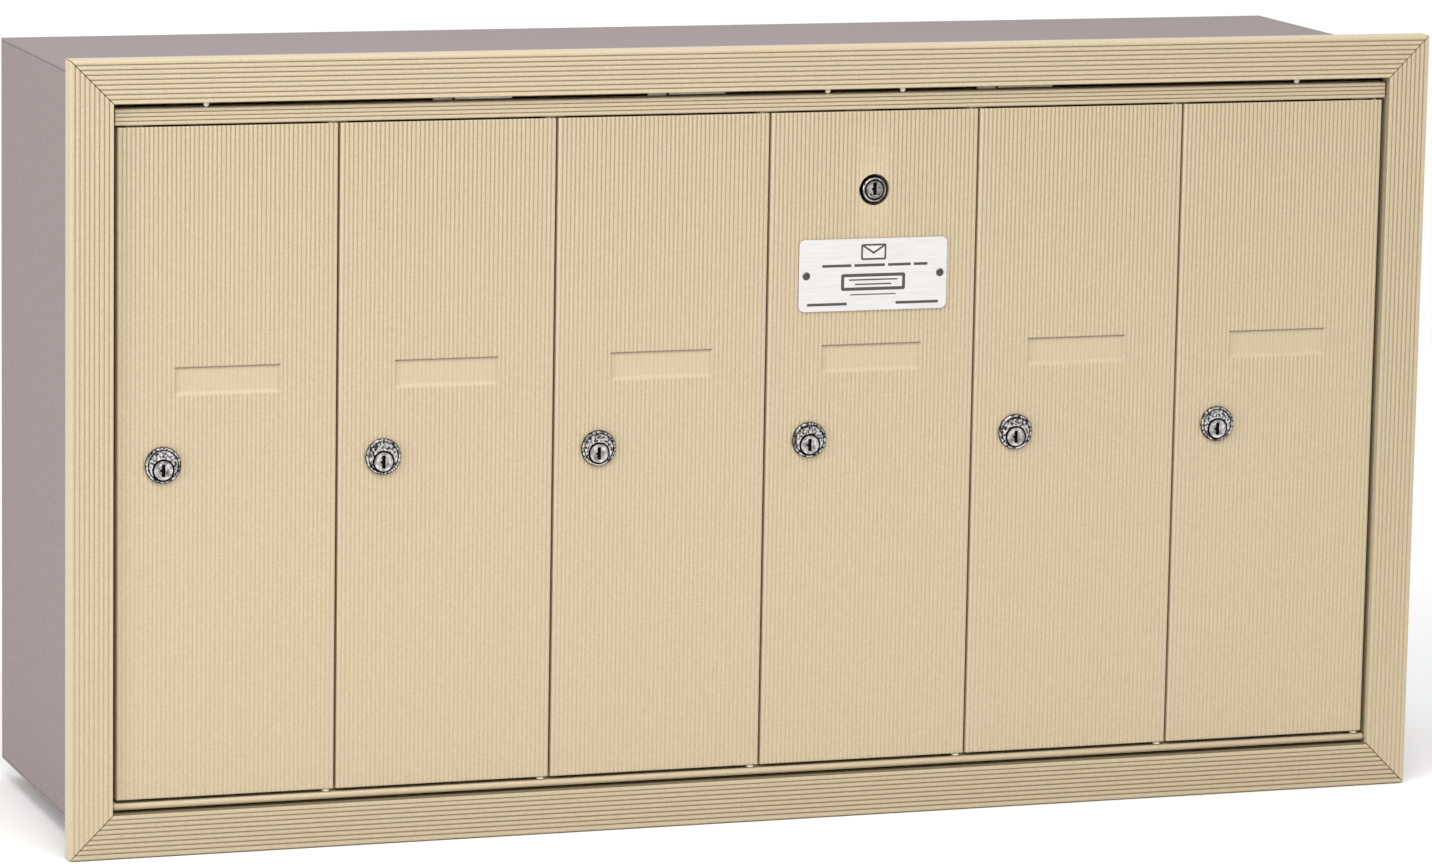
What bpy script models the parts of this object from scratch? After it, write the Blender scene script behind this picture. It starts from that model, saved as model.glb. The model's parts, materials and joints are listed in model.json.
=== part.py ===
"""Recessed cluster mailbox unit with six vertical doors, as separate pieces.

x runs across the wall, y into it and z up. y = 0 is the wall's face, and the
origin is the middle of the band where the bottom trim laps onto the wall.
A master front holds the six doors and tilts out on a rod along its bottom.
"""
import bpy
import bmesh
from math import acos, asin, cos, pi, radians, sin, tau
from mathutils import Vector

UNIT = "cluster_mailbox"

# General
GAP = 0.0003             # left between neighbouring pieces
SHEET = 0.0015           # sheet steel of the box
ROUND_STEPS = 20         # facets of a lock or a hole
PIN_STEPS = 12           # facets of a pin or its bore

# Trim: four mitred channel extrusions
TRIM_WIDTH = 0.876
TRIM_HEIGHT = 0.4826
TRIM_FACE = 0.0265
TRIM_DEPTH = 0.0127
TRIM_WALL = 0.002
TRIM_EDGE = 0.004        # radius of the outer front edge
TRIM_LAP = 0.012         # reach past the box, onto the wall
TRIM_FOOT = 0.016        # width of the foot that bears on the wall
TRIM_LEG_BACK = -0.001   # where the inner leg ends

# Box and partitions
BOX_DEPTH = 0.2283
PARTITION = 0.001
PARTITION_FRONT = 0.013

# Doors: extrusions that turn on a pin in a bead near their right edge
DOORS = 6
DOOR_PITCH = 0.1364
DOOR_SEAM = 0.0015
DOOR_HEIGHT = 0.4065
DOOR_SKIN = 0.0025
DOOR_FRONT = -0.009
DOOR_AXIS_IN = 0.0044    # from the door's right edge to its pin
DOOR_AXIS_Y = -0.006
BEAD_RADIUS = 0.0026
PIN_RADIUS = 0.0012
PIN_BORE = 0.0015
BUSH_RADIUS = 0.0024
LIP = 0.002              # thickness of the lip along the left edge
CARD_SIZE = (0.065, 0.0175)
CARD_LEFT = 0.035        # from the door's left edge
CARD_DROP = 0.1445       # from the door's top
CARD_DEPTH = 0.0008
CARD_CORNER = 0.003

# Master front's frame
SIDE_PLAY = 0.0015       # beside the rails
BOTTOM_PLAY = 0.002
HINGE_Y = -0.0065
NOSE_RADIUS = 0.00225    # half the bottom rail's height
BOTTOM_SEAM = 0.0021
TOP_SEAM = 0.0012
TOP_RAIL_HEIGHT = 0.010
TOP_RAIL_BACK = 0.0022
POST_FRONT = -0.0005     # mullions and stiles
POST_BACK = 0.0085
MULLION_WIDTH = 0.014
STILE = (0.391, 0.4025)  # from the middle to the stile's two sides

# Cam locks
LOCK_LEFT = 0.0277       # from the door's left edge
LOCK_DROP = 0.203        # from the door's top
LOCK_FACE = 0.0111
LOCK_FACE_HEIGHT = 0.002
LOCK_BARREL = 0.0102
LOCK_HOLE = 0.0105
LOCK_BACK = 0.0078
PLUG_DROP = 0.003        # the plug sits low in the face
PLUG_RADIUS = 0.0063
PLUG_BORE = 0.0066
PLUG_FRONT = -0.0118
CAM_FRONT = 0.009
CAM_THICK = 0.0018
CAM_WIDTH = 0.009
CAM_REACH = 0.0265
KEYWAY = (0.0018, 0.007, 0.003)

# Master lock, latch bar and strikes
MASTER_DOOR = 4
MASTER_DROP = 0.0486     # from the door's top
MASTER_HOLE = 0.00975
MASTER_BARREL = 0.008
MASTER_SHOULDER = 0.0092
MASTER_PLUG = 0.006
MASTER_BORE = 0.0063
MASTER_FRONT = -0.0096
BRACKET_HALF_HEIGHT = 0.016
BRACKET_Y = (-0.0025, -0.0005)
CRANK_RADIUS = 0.010
CRANK_PIN = 0.0015
CRANK_REST = radians(45)  # left of straight up, while unlocked
CRANK_Y = (0.0001, 0.0021)
BAR_Y = (0.0025, 0.0045)
BAR_MARGIN = 0.0015      # above and below the bar, behind the rail
LEG_HALF = 0.009
SLOT_PLAY = 0.0006
STRIKE_Y = (0.0003, 0.002)
STRIKE_WIDTH = 0.036
STRIKE_CENTRES = (-0.1807, -0.0448, 0.1698)
STRIKE_STRIP_LOW = 0.002  # above the opening
STRIKE_CLEAR = 0.0005    # above the top rail
TAB_WIDTH = 0.012
TAB_CLEAR = 0.001
GUIDE_X = 0.15
GUIDE_WIDTH = 0.020
GUIDE_WALL = 0.0015

# Label plate
PLATE_SIZE = (0.0968, 0.0446)
PLATE_DROP = 0.0787      # from the door's top to the plate's top
PLATE_THICK = 0.0008
PLATE_CORNER = 0.0025

# Stay arms: stud and pivot are equally far from the hinge rod, so an arm
# turns by exactly half the front's angle
STAY_RADIUS = 0.110
STAY_REST_ANGLE = radians(25)   # between pivot and stud, seen from the rod
STAY_TRAVEL = radians(50)       # the front's full tilt
STAY_PIVOT_Y = 0.005
STAY_X = (0.404, 0.406)
STAY_HALF = 0.0045
STAY_SLOT = 0.0026
STUD_RADIUS = 0.0023
STUD_HEAD = (0.0045, 0.0017)
STAY_PIN = 0.002
STAY_PIN_BORE = 0.0023
STAY_PIN_LENGTH = 0.007

# Worked out from the sizes above
BOTTOM = -TRIM_LAP / 2
TOP = BOTTOM + TRIM_HEIGHT
OPEN_HALF = TRIM_WIDTH / 2 - TRIM_FACE
OPEN_LOW = BOTTOM + TRIM_FACE
OPEN_HIGH = TOP - TRIM_FACE
BOX_HALF = TRIM_WIDTH / 2 - TRIM_LAP
BOX_LOW = BOTTOM + TRIM_LAP
BOX_HIGH = TOP - TRIM_LAP
ROOM_HALF = BOX_HALF - SHEET
ROOM_LOW = BOX_LOW + SHEET
ROOM_HIGH = BOX_HIGH - SHEET
RAIL_HALF = OPEN_HALF - SIDE_PLAY
HINGE_Z = OPEN_LOW + BOTTOM_PLAY + NOSE_RADIUS
DOOR_LOW = HINGE_Z + NOSE_RADIUS + BOTTOM_SEAM
DOOR_HIGH = DOOR_LOW + DOOR_HEIGHT
TOP_RAIL_LOW = DOOR_HIGH + TOP_SEAM
TOP_RAIL_HIGH = TOP_RAIL_LOW + TOP_RAIL_HEIGHT
DOOR_WIDTH = DOOR_PITCH - DOOR_SEAM
DOORS_LEFT = -(DOORS * DOOR_PITCH - DOOR_SEAM) / 2
MASTER_X = DOORS_LEFT + (MASTER_DOOR - 1) * DOOR_PITCH + DOOR_WIDTH / 2
MASTER_Z = DOOR_HIGH - MASTER_DROP
LOCK_Z = DOOR_HIGH - LOCK_DROP

# How a flat outline lies when it is extruded along an axis
ALONG_X = (pi / 2, 0, pi / 2)   # outline in y, z
ALONG_Y = (pi / 2, 0, 0)        # outline in x, z
ALONG_Z = (0, 0, 0)             # outline in x, y


def clear_scene():
    for obj in list(bpy.data.objects):
        bpy.data.objects.remove(obj, do_unlink=True)


def new_collection(name):
    collection = bpy.data.collections.new(name)
    bpy.context.scene.collection.children.link(collection)
    return collection


clear_scene()
PARTS = new_collection(UNIT)
CUTTERS = new_collection(UNIT + "_cutters")


# ---------------------------------------------------------------- materials

def new_material(name, color, roughness, metallic):
    mat = bpy.data.materials.new(name)
    mat.use_nodes = True
    bsdf = mat.node_tree.nodes["Principled BSDF"]
    bsdf.inputs["Base Color"].default_value = (*color, 1)
    bsdf.inputs["Roughness"].default_value = roughness
    bsdf.inputs["Metallic"].default_value = metallic
    mat.diffuse_color = (*color, 1)
    return mat


PAINT = new_material("sandstone_paint", (0.66, 0.55, 0.36), 0.45, 0.1)
BOX_PAINT = new_material("box_paint", (0.27, 0.23, 0.23), 0.6, 0.1)
STEEL = new_material("zinc_steel", (0.55, 0.55, 0.56), 0.4, 0.9)
CHROME = new_material("chrome", (0.75, 0.75, 0.77), 0.15, 1.0)
BRUSHED = new_material("label_aluminium", (0.8, 0.8, 0.81), 0.35, 0.8)
NYLON = new_material("bushing_nylon", (0.7, 0.68, 0.64), 0.4, 0.0)


# ------------------------------------------------------------ making pieces

def add_object(name, mesh, mat, at, turn=(0, 0, 0), body=None):
    """Puts a mesh in the world at a place, carried by its body's empty."""
    obj = bpy.data.objects.new(name, mesh)
    obj.rotation_euler = turn
    obj.location = at
    if body:
        obj.parent = body
        obj.location = Vector(at) - body.matrix_world.translation
    if mat:
        mesh.materials.append(mat)
        PARTS.objects.link(obj)
    else:
        obj.hide_render = True
        obj.display_type = "WIRE"
        CUTTERS.objects.link(obj)
    return obj


def new_body(name, at, parent=None):
    """An empty on a joint's axis, which the moving pieces hang from."""
    empty = bpy.data.objects.new(name, None)
    PARTS.objects.link(empty)
    empty.location = at
    if parent:
        empty.parent = parent
        empty.location = Vector(at) - parent.matrix_world.translation
    bpy.context.view_layer.update()
    return empty


def block(name, low, high, mat, body=None):
    """A box between two corners."""
    size = Vector(high) - Vector(low)
    mesh = bpy.data.meshes.new(name)
    bm = bmesh.new()
    bmesh.ops.create_cube(bm, size=1)
    bmesh.ops.scale(bm, vec=size, verts=bm.verts)
    bm.to_mesh(mesh)
    bm.free()
    return add_object(name, mesh, mat, (Vector(low) + Vector(high)) / 2, body=body)


def outline_mesh(name, loops, thickness):
    """Extrudes a flat outline, with any holes in it, evenly both ways."""
    curve = bpy.data.curves.new(name, "CURVE")
    curve.dimensions = "2D"
    curve.fill_mode = "BOTH"
    curve.extrude = thickness / 2
    for loop in loops:
        spline = curve.splines.new("POLY")
        spline.points.add(len(loop) - 1)
        for point, (u, v) in zip(spline.points, loop):
            point.co = (u, v, 0, 1)
        spline.use_cyclic_u = True
    guide = bpy.data.objects.new(name, curve)
    CUTTERS.objects.link(guide)
    bpy.context.view_layer.update()
    graph = bpy.context.evaluated_depsgraph_get()
    mesh = bpy.data.meshes.new_from_object(guide.evaluated_get(graph))
    bpy.data.objects.remove(guide)
    mesh.materials.clear()
    bm = bmesh.new()
    bm.from_mesh(mesh)
    bmesh.ops.remove_doubles(bm, verts=bm.verts, dist=0.000001)
    bmesh.ops.recalc_face_normals(bm, faces=bm.faces)
    bm.to_mesh(mesh)
    bm.free()
    return mesh


def extruded(name, loops, thickness, mat, at, lie, body=None):
    return add_object(name, outline_mesh(name, loops, thickness), mat, at, lie, body)


def turned(name, profile, mat, at, turn, steps=ROUND_STEPS, body=None):
    """Turns (radius, height) points, top to bottom down the outside."""
    mesh = bpy.data.meshes.new(name)
    bm = bmesh.new()
    verts = [bm.verts.new((r, 0, h)) for r, h in profile]
    for first, second in zip(verts, verts[1:]):
        bm.edges.new((first, second))
    bm.to_mesh(mesh)
    bm.free()
    obj = add_object(name, mesh, mat, at, turn, body)
    screw = obj.modifiers.new("turn", "SCREW")
    screw.steps = steps
    screw.render_steps = steps
    screw.use_merge_vertices = True
    screw.merge_threshold = 0.00001
    screw.use_smooth_shade = False
    return obj


def rod(name, radius, low, high, mat, at, turn, steps=PIN_STEPS, body=None):
    """A plain round bar along its own z, from low to high."""
    profile = [(0, high), (radius, high), (radius, low), (0, low)]
    return turned(name, profile, mat, at, turn, steps, body)


def boolean(obj, other, operation):
    modifier = obj.modifiers.new(other.name, "BOOLEAN")
    modifier.operation = operation
    modifier.object = other
    modifier.solver = "EXACT"


def cut(obj, cutter):
    boolean(obj, cutter, "DIFFERENCE")


def join(obj, other):
    boolean(obj, other, "UNION")


def circle(radius, steps, centre=(0, 0)):
    return [(centre[0] + radius * cos(tau * i / steps), centre[1] + radius * sin(tau * i / steps))
            for i in range(steps)]


def arc(radius, start, end, steps, centre=(0, 0)):
    turn = (end - start) / steps
    return [(centre[0] + radius * cos(start + turn * i), centre[1] + radius * sin(start + turn * i))
            for i in range(steps + 1)]


def rounded_rectangle(size, corner, steps=3):
    """Counter-clockwise, centred on zero."""
    points = []
    half_w = size[0] / 2 - corner
    half_h = size[1] / 2 - corner
    for i, (sx, sy) in enumerate(((1, 1), (-1, 1), (-1, -1), (1, -1))):
        points += arc(corner, i * pi / 2, (i + 1) * pi / 2, steps, (sx * half_w, sy * half_h))
    return points


def slot_outline(start, end, radius, steps=5):
    """A rounded slot along u, from centre to centre."""
    return (arc(radius, -pi / 2, pi / 2, steps, (end, 0))
            + arc(radius, pi / 2, 3 * pi / 2, steps, (start, 0)))


# ------------------------------------------------------------------ cabinet

def trim_profile():
    """Channel section: u from the outer edge inwards, then depth."""
    front = -TRIM_DEPTH
    wall = TRIM_WALL
    inside = TRIM_FACE - wall
    edge = arc(TRIM_EDGE, pi, 3 * pi / 2, 4, (TRIM_EDGE, front + TRIM_EDGE))
    leg = [(TRIM_FACE, front), (TRIM_FACE, TRIM_LEG_BACK), (inside, TRIM_LEG_BACK)]
    hollow = [(inside, front + wall), (2 * wall, front + wall), (wall, front + 2 * wall)]
    foot = [(wall, -wall), (TRIM_FOOT, -wall), (TRIM_FOOT, 0)]
    return [(0, 0)] + edge + leg + hollow + foot


def trim(side, length, at, angle):
    """One side of the trim, mitred by drawing its ends in by the depth from the edge."""
    name = "trim_" + side
    mesh = outline_mesh(name, [trim_profile()], length)
    for vert in mesh.vertices:
        inset = vert.co.x + GAP / 2
        vert.co.z += -inset if vert.co.z > 0 else inset
    return add_object(name, mesh, PAINT, at, (0, angle, 0))


def make_trim():
    middle = (BOTTOM + TOP) / 2
    half = TRIM_WIDTH / 2
    left = trim("left", TRIM_HEIGHT, (-half, 0, middle), 0)
    right = trim("right", TRIM_HEIGHT, (half, 0, middle), pi)
    trim("bottom", TRIM_WIDTH, (0, 0, BOTTOM), -pi / 2)
    trim("top", TRIM_WIDTH, (0, 0, TOP), pi / 2)
    for side, piece in ((-1, left), (1, right)):
        where = (side * (OPEN_HALF + TRIM_WALL / 2), HINGE_Y, HINGE_Z)
        name = piece.name + "_rod_hole"
        cut(piece, rod(name, PIN_BORE, -TRIM_WALL, TRIM_WALL, None, where, ALONG_X))


def make_box():
    back = BOX_DEPTH - SHEET
    side_low = ROOM_LOW + GAP
    side_high = ROOM_HIGH - GAP
    block("cabinet_top", (-BOX_HALF, GAP, ROOM_HIGH), (BOX_HALF, BOX_DEPTH, BOX_HIGH), BOX_PAINT)
    block("cabinet_bottom", (-BOX_HALF, GAP, BOX_LOW), (BOX_HALF, BOX_DEPTH, ROOM_LOW), BOX_PAINT)
    block("cabinet_left", (-BOX_HALF, GAP, side_low), (-ROOM_HALF, BOX_DEPTH, side_high), BOX_PAINT)
    block("cabinet_right", (ROOM_HALF, GAP, side_low), (BOX_HALF, BOX_DEPTH, side_high), BOX_PAINT)
    block("cabinet_back", (GAP - ROOM_HALF, back, side_low),
          (ROOM_HALF - GAP, BOX_DEPTH, side_high), BOX_PAINT)


def seam_x(index):
    """Middle of the seam to the right of a door, counted from 1."""
    return DOORS_LEFT + index * DOOR_PITCH - DOOR_SEAM / 2


def make_partitions():
    back = BOX_DEPTH - SHEET - GAP
    for i in range(1, DOORS):
        x = seam_x(i)
        block(f"partition_{i}", (x - PARTITION / 2, PARTITION_FRONT, ROOM_LOW + GAP),
              (x + PARTITION / 2, back, ROOM_HIGH - GAP), BOX_PAINT)


def make_hinge_rod():
    half = OPEN_HALF + 2 * TRIM_WALL
    rod("hinge_rod", PIN_RADIUS, -half, half, STEEL, (0, HINGE_Y, HINGE_Z), ALONG_X)


def make_strike_strip():
    """A strip behind the top trim, with a plate hanging into the gap for each latch tab."""
    low = OPEN_HIGH + STRIKE_STRIP_LOW
    high = ROOM_HIGH - GAP
    tip = TOP_RAIL_HIGH + STRIKE_CLEAR
    half = STRIKE_WIDTH / 2
    points = [(STRIKE_CENTRES[-1] + half, high), (STRIKE_CENTRES[0] - half, high)]
    for i, x in enumerate(STRIKE_CENTRES):
        if i > 0:
            points.append((x - half, low))
        points += [(x - half, tip), (x + half, tip)]
        if i < len(STRIKE_CENTRES) - 1:
            points.append((x + half, low))
    extruded("strike_strip", [points], STRIKE_Y[1] - STRIKE_Y[0], STEEL,
             (0, sum(STRIKE_Y) / 2, 0), ALONG_Y)


# ------------------------------------------------------------- master front

def make_front_frame(front):
    post_low = HINGE_Z + NOSE_RADIUS + GAP
    post_high = TOP_RAIL_LOW - GAP
    block("front_top_rail", (-RAIL_HALF, DOOR_FRONT, TOP_RAIL_LOW),
          (RAIL_HALF, TOP_RAIL_BACK, TOP_RAIL_HIGH), PAINT, front)
    nose = arc(NOSE_RADIUS, pi / 2, 3 * pi / 2, 8)
    back = POST_BACK - HINGE_Y
    section = nose + [(back, -NOSE_RADIUS), (back, NOSE_RADIUS)]
    extruded("front_bottom_rail", [section, circle(PIN_BORE, PIN_STEPS)], 2 * RAIL_HALF, PAINT,
             (0, HINGE_Y, HINGE_Z), ALONG_X, front)
    for i in range(1, DOORS):
        x = seam_x(i)
        block(f"mullion_{i}", (x - MULLION_WIDTH / 2, POST_FRONT, post_low),
              (x + MULLION_WIDTH / 2, POST_BACK, post_high), STEEL, front)
    pivot = stay_pivot()
    for side, sign in (("left", -1), ("right", 1)):
        inner, outer = sorted((sign * STILE[0], sign * STILE[1]))
        stile = block(f"front_stile_{side}", (inner, POST_FRONT, post_low),
                      (outer, POST_BACK, post_high), STEEL, front)
        where = (sign * STILE[1], pivot.y, pivot.z)
        reach = STAY_PIN_LENGTH + GAP
        cut(stile, rod(stile.name + "_bore", STAY_PIN_BORE, -reach, reach, None, where, ALONG_X,
                       body=front))


def make_master_lock(front):
    """Bracket and lock body stay on the front, behind a hole in door 4."""
    left = seam_x(MASTER_DOOR - 1) + MULLION_WIDTH / 2 + GAP
    right = seam_x(MASTER_DOOR) - MULLION_WIDTH / 2 - GAP
    bracket = block("master_lock_bracket", (left, BRACKET_Y[0], MASTER_Z - BRACKET_HALF_HEIGHT),
                    (right, BRACKET_Y[1], MASTER_Z + BRACKET_HALF_HEIGHT), STEEL, front)
    where = (MASTER_X, 0, MASTER_Z)
    cut(bracket, rod("bracket_hole", MASTER_BARREL + GAP, -0.01, 0.01, None, where, ALONG_Y,
                     ROUND_STEPS, front))
    shoulder_back = -BRACKET_Y[0] + GAP
    profile = [(MASTER_BORE, -MASTER_FRONT), (MASTER_BARREL, -MASTER_FRONT),
               (MASTER_BARREL, shoulder_back + 0.002), (MASTER_SHOULDER, shoulder_back + 0.002),
               (MASTER_SHOULDER, shoulder_back), (MASTER_BARREL, shoulder_back),
               (MASTER_BARREL, GAP), (MASTER_BORE, GAP), (MASTER_BORE, -MASTER_FRONT)]
    turned("master_lock_body", profile, CHROME, where, ALONG_Y, body=front)


def make_master_plug(front):
    """Plug with a crank behind it, whose pin works the latch bar."""
    where = (MASTER_X, 0, MASTER_Z)
    axis = new_body("master_lock_axis", where, front)
    plug = rod("master_lock_plug", MASTER_PLUG, -CRANK_Y[1], -MASTER_FRONT + GAP, CHROME, where,
               ALONG_Y, ROUND_STEPS, axis)
    arm_mesh = [slot_outline(0, CRANK_RADIUS, 2 * CRANK_PIN)]
    arm_turn = (pi / 2, -(pi / 2 + CRANK_REST), 0)
    middle = (MASTER_X, sum(CRANK_Y) / 2, MASTER_Z)
    join(plug, extruded("crank_arm", arm_mesh, CRANK_Y[1] - CRANK_Y[0], None, middle, arm_turn, axis))
    pin = (MASTER_X - CRANK_RADIUS * sin(CRANK_REST), 0, MASTER_Z + CRANK_RADIUS * cos(CRANK_REST))
    join(plug, rod("crank_pin", CRANK_PIN, -BAR_Y[1] - GAP, -CRANK_Y[0] - GAP, None, pin, ALONG_Y,
                   PIN_STEPS, axis))
    cut(plug, keyway("master_keyway", where, MASTER_FRONT - GAP, axis))


def make_latch_bar(front):
    """A bar behind the top rail: three tabs up, one slotted leg down to the crank."""
    low = TOP_RAIL_LOW + BAR_MARGIN
    high = TOP_RAIL_HIGH - BAR_MARGIN
    tip = OPEN_HIGH - 0.0004
    crank_x = MASTER_X - CRANK_RADIUS * sin(CRANK_REST)
    slot_low = MASTER_Z + CRANK_RADIUS * cos(CRANK_REST) - CRANK_PIN - SLOT_PLAY
    slot_high = MASTER_Z + CRANK_RADIUS + CRANK_PIN + SLOT_PLAY
    leg_low = slot_low - 2 * CRANK_PIN
    tabs = [x - STRIKE_WIDTH / 2 - TAB_CLEAR - TAB_WIDTH for x in STRIKE_CENTRES]
    points = [(tabs[0], low), (crank_x - LEG_HALF, low), (crank_x - LEG_HALF, leg_low),
              (crank_x + LEG_HALF, leg_low), (crank_x + LEG_HALF, low), (tabs[-1] + TAB_WIDTH, low)]
    for i, x in reversed(list(enumerate(tabs))):
        if i < len(tabs) - 1:
            points.append((x + TAB_WIDTH, high))
        points += [(x + TAB_WIDTH, tip), (x, tip)]
        if i > 0:
            points.append((x, high))
    half_slot = CRANK_PIN + SLOT_PLAY
    slot = [(crank_x - half_slot, slot_low), (crank_x + half_slot, slot_low),
            (crank_x + half_slot, slot_high), (crank_x - half_slot, slot_high)]
    extruded("latch_bar", [points, slot], BAR_Y[1] - BAR_Y[0], STEEL, (0, sum(BAR_Y) / 2, 0),
             ALONG_Y, front)


def make_latch_guides(front):
    """Small angles under and behind the bar, which hold it to the rail."""
    under = TOP_RAIL_LOW + BAR_MARGIN - GAP
    behind = BAR_Y[1] + GAP
    front_face = TOP_RAIL_BACK + GAP
    section = [(front_face, under), (front_face, under - GUIDE_WALL),
               (behind + GUIDE_WALL, under - GUIDE_WALL), (behind + GUIDE_WALL, TOP_RAIL_HIGH - BAR_MARGIN),
               (behind, TOP_RAIL_HIGH - BAR_MARGIN), (behind, under)]
    for side, x in (("left", -GUIDE_X), ("right", GUIDE_X)):
        extruded(f"latch_guide_{side}", [section], GUIDE_WIDTH, STEEL, (x, 0, 0), ALONG_X, front)


# --------------------------------------------------------------- stay arms

def about_rod(angle):
    """A point at the stays' radius, the angle leaning back from straight up."""
    return Vector((0, HINGE_Y + STAY_RADIUS * sin(angle), HINGE_Z + STAY_RADIUS * cos(angle)))


def stay_pivot():
    return about_rod(asin((STAY_PIVOT_Y - HINGE_Y) / STAY_RADIUS))


def stay_stud():
    return about_rod(asin((STAY_PIVOT_Y - HINGE_Y) / STAY_RADIUS) + STAY_REST_ANGLE)


def make_stays(front):
    pivot = stay_pivot()
    stud = stay_stud()
    to_stud = stud - pivot
    slope = -acos(to_stud.y / to_stud.length)
    far = 2 * STAY_RADIUS * sin((STAY_REST_ANGLE + STAY_TRAVEL) / 2)
    outline = slot_outline(0, far + STAY_HALF + STAY_SLOT, STAY_HALF)
    slot = slot_outline(to_stud.length - GAP, far + GAP, STAY_SLOT)
    for side, sign in (("left", -1), ("right", 1)):
        near_x, far_x = sign * STAY_X[0], sign * STAY_X[1]
        axis = new_body(f"stay_axis_{side}", (near_x, pivot.y, pivot.z), front)
        lie = (pi / 2, -slope, pi / 2)
        arm = extruded(f"stay_arm_{side}", [outline, slot], STAY_X[1] - STAY_X[0], STEEL,
                       ((near_x + far_x) / 2, pivot.y, pivot.z), lie, axis)
        inner, outer = sorted((sign * (STILE[1] - STAY_PIN_LENGTH), sign * (STAY_X[1] - GAP)))
        join(arm, rod(f"stay_pin_{side}", STAY_PIN, inner, outer, None, (0, pivot.y, pivot.z),
                      ALONG_X, body=axis))
        head_radius, head_height = STUD_HEAD
        wall = ROOM_HALF - GAP
        head = STAY_X[0] - GAP
        profile = [(0, wall), (STUD_RADIUS, wall), (STUD_RADIUS, head),
                   (head_radius, head), (head_radius, head - head_height), (0, head - head_height)]
        turn = ALONG_X if sign > 0 else (pi / 2, 0, -pi / 2)
        turned(f"stay_stud_{side}", profile, STEEL, (0, stud.y, stud.z), turn, PIN_STEPS)


# -------------------------------------------------------------------- doors

def door_section():
    """Skin, lip along the left edge and the bead round the pin, about the pin's axis."""
    left = DOOR_AXIS_IN - DOOR_WIDTH
    front = DOOR_FRONT - DOOR_AXIS_Y
    back = front + DOOR_SKIN
    lip_back = POST_FRONT - GAP - DOOR_AXIS_Y
    start = asin(back / BEAD_RADIUS)
    bead = arc(BEAD_RADIUS, start, pi - start, 10)
    return ([(left, front), (DOOR_AXIS_IN, front), (DOOR_AXIS_IN, back)] + bead
            + [(left + LIP, back), (left + LIP, lip_back), (left, lip_back)])


def keyway(name, at, front, body):
    """Cutter for a key slot in a plug's face."""
    width, height, depth = KEYWAY
    low = (at[0] - width / 2, front - depth, at[2] - height / 2)
    high = (at[0] + width / 2, front + depth, at[2] + height / 2)
    return block(name, low, high, None, body)


def make_door_panel(i, left, axis):
    name = f"door_{i}"
    middle = (DOOR_LOW + DOOR_HIGH) / 2
    pin_x = left + DOOR_WIDTH - DOOR_AXIS_IN
    panel = extruded(name, [door_section(), circle(PIN_BORE, PIN_STEPS)], DOOR_HEIGHT, PAINT,
                     (pin_x, DOOR_AXIS_Y, middle), ALONG_Z, axis)
    cut(panel, rod(name + "_lock_hole", LOCK_HOLE, 0, 0.02, None, (left + LOCK_LEFT, 0, LOCK_Z),
                   ALONG_Y, ROUND_STEPS, axis))
    card = (left + CARD_LEFT + CARD_SIZE[0] / 2, DOOR_FRONT, DOOR_HIGH - CARD_DROP - CARD_SIZE[1] / 2)
    cut(panel, extruded(name + "_card_recess", [rounded_rectangle(CARD_SIZE, CARD_CORNER)],
                        2 * CARD_DEPTH, None, card, ALONG_Y, axis))
    if i == MASTER_DOOR:
        cut(panel, rod("door_master_hole", MASTER_HOLE, 0.003, 0.02, None, (MASTER_X, 0, MASTER_Z),
                       ALONG_Y, ROUND_STEPS, axis))


def make_door_pin(i, pin_x, front):
    """Pin through the bead, with the bushing that carries the door's weight."""
    low = HINGE_Z + NOSE_RADIUS + GAP
    bush_top = DOOR_LOW - GAP
    profile = [(0, TOP_RAIL_LOW - GAP), (PIN_RADIUS, TOP_RAIL_LOW - GAP), (PIN_RADIUS, bush_top),
               (BUSH_RADIUS, bush_top), (BUSH_RADIUS, low), (0, low)]
    turned(f"door_pin_{i}", profile, NYLON, (pin_x, DOOR_AXIS_Y, 0), ALONG_Z, PIN_STEPS, front)


def make_door_lock(i, left, axis):
    x = left + LOCK_LEFT
    face_back = -DOOR_FRONT + GAP
    face_front = face_back + LOCK_FACE_HEIGHT
    profile = [(0, face_front), (LOCK_FACE - 0.001, face_front), (LOCK_FACE, face_front - 0.001),
               (LOCK_FACE, face_back), (LOCK_BARREL, face_back), (LOCK_BARREL, -LOCK_BACK),
               (0, -LOCK_BACK)]
    body = turned(f"lock_body_{i}", profile, CHROME, (x, 0, LOCK_Z), ALONG_Y, body=axis)
    centre = (x, 0, LOCK_Z - PLUG_DROP)
    cut(body, rod(f"lock_bore_{i}", PLUG_BORE, -0.02, 0.02, None, centre, ALONG_Y, ROUND_STEPS, axis))
    plug_axis = new_body(f"lock_axis_{i}", centre, axis)
    plug = rod(f"lock_plug_{i}", PLUG_RADIUS, -CAM_FRONT - CAM_THICK / 2, -PLUG_FRONT, CHROME, centre,
               ALONG_Y, ROUND_STEPS, plug_axis)
    tongue = [slot_outline(0, CAM_REACH - CAM_WIDTH / 2, CAM_WIDTH / 2)]
    down = (pi / 2, pi / 2, 0)
    middle = (x, CAM_FRONT + CAM_THICK / 2, centre[2])
    join(plug, extruded(f"cam_{i}", tongue, CAM_THICK, None, middle, down, plug_axis))
    cut(plug, keyway(f"keyway_{i}", centre, PLUG_FRONT, plug_axis))


def make_label_plate(axis):
    at = (MASTER_X, DOOR_FRONT - GAP - PLATE_THICK / 2, DOOR_HIGH - PLATE_DROP - PLATE_SIZE[1] / 2)
    extruded("label_plate", [rounded_rectangle(PLATE_SIZE, PLATE_CORNER)], PLATE_THICK, BRUSHED, at,
             ALONG_Y, axis)


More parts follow.
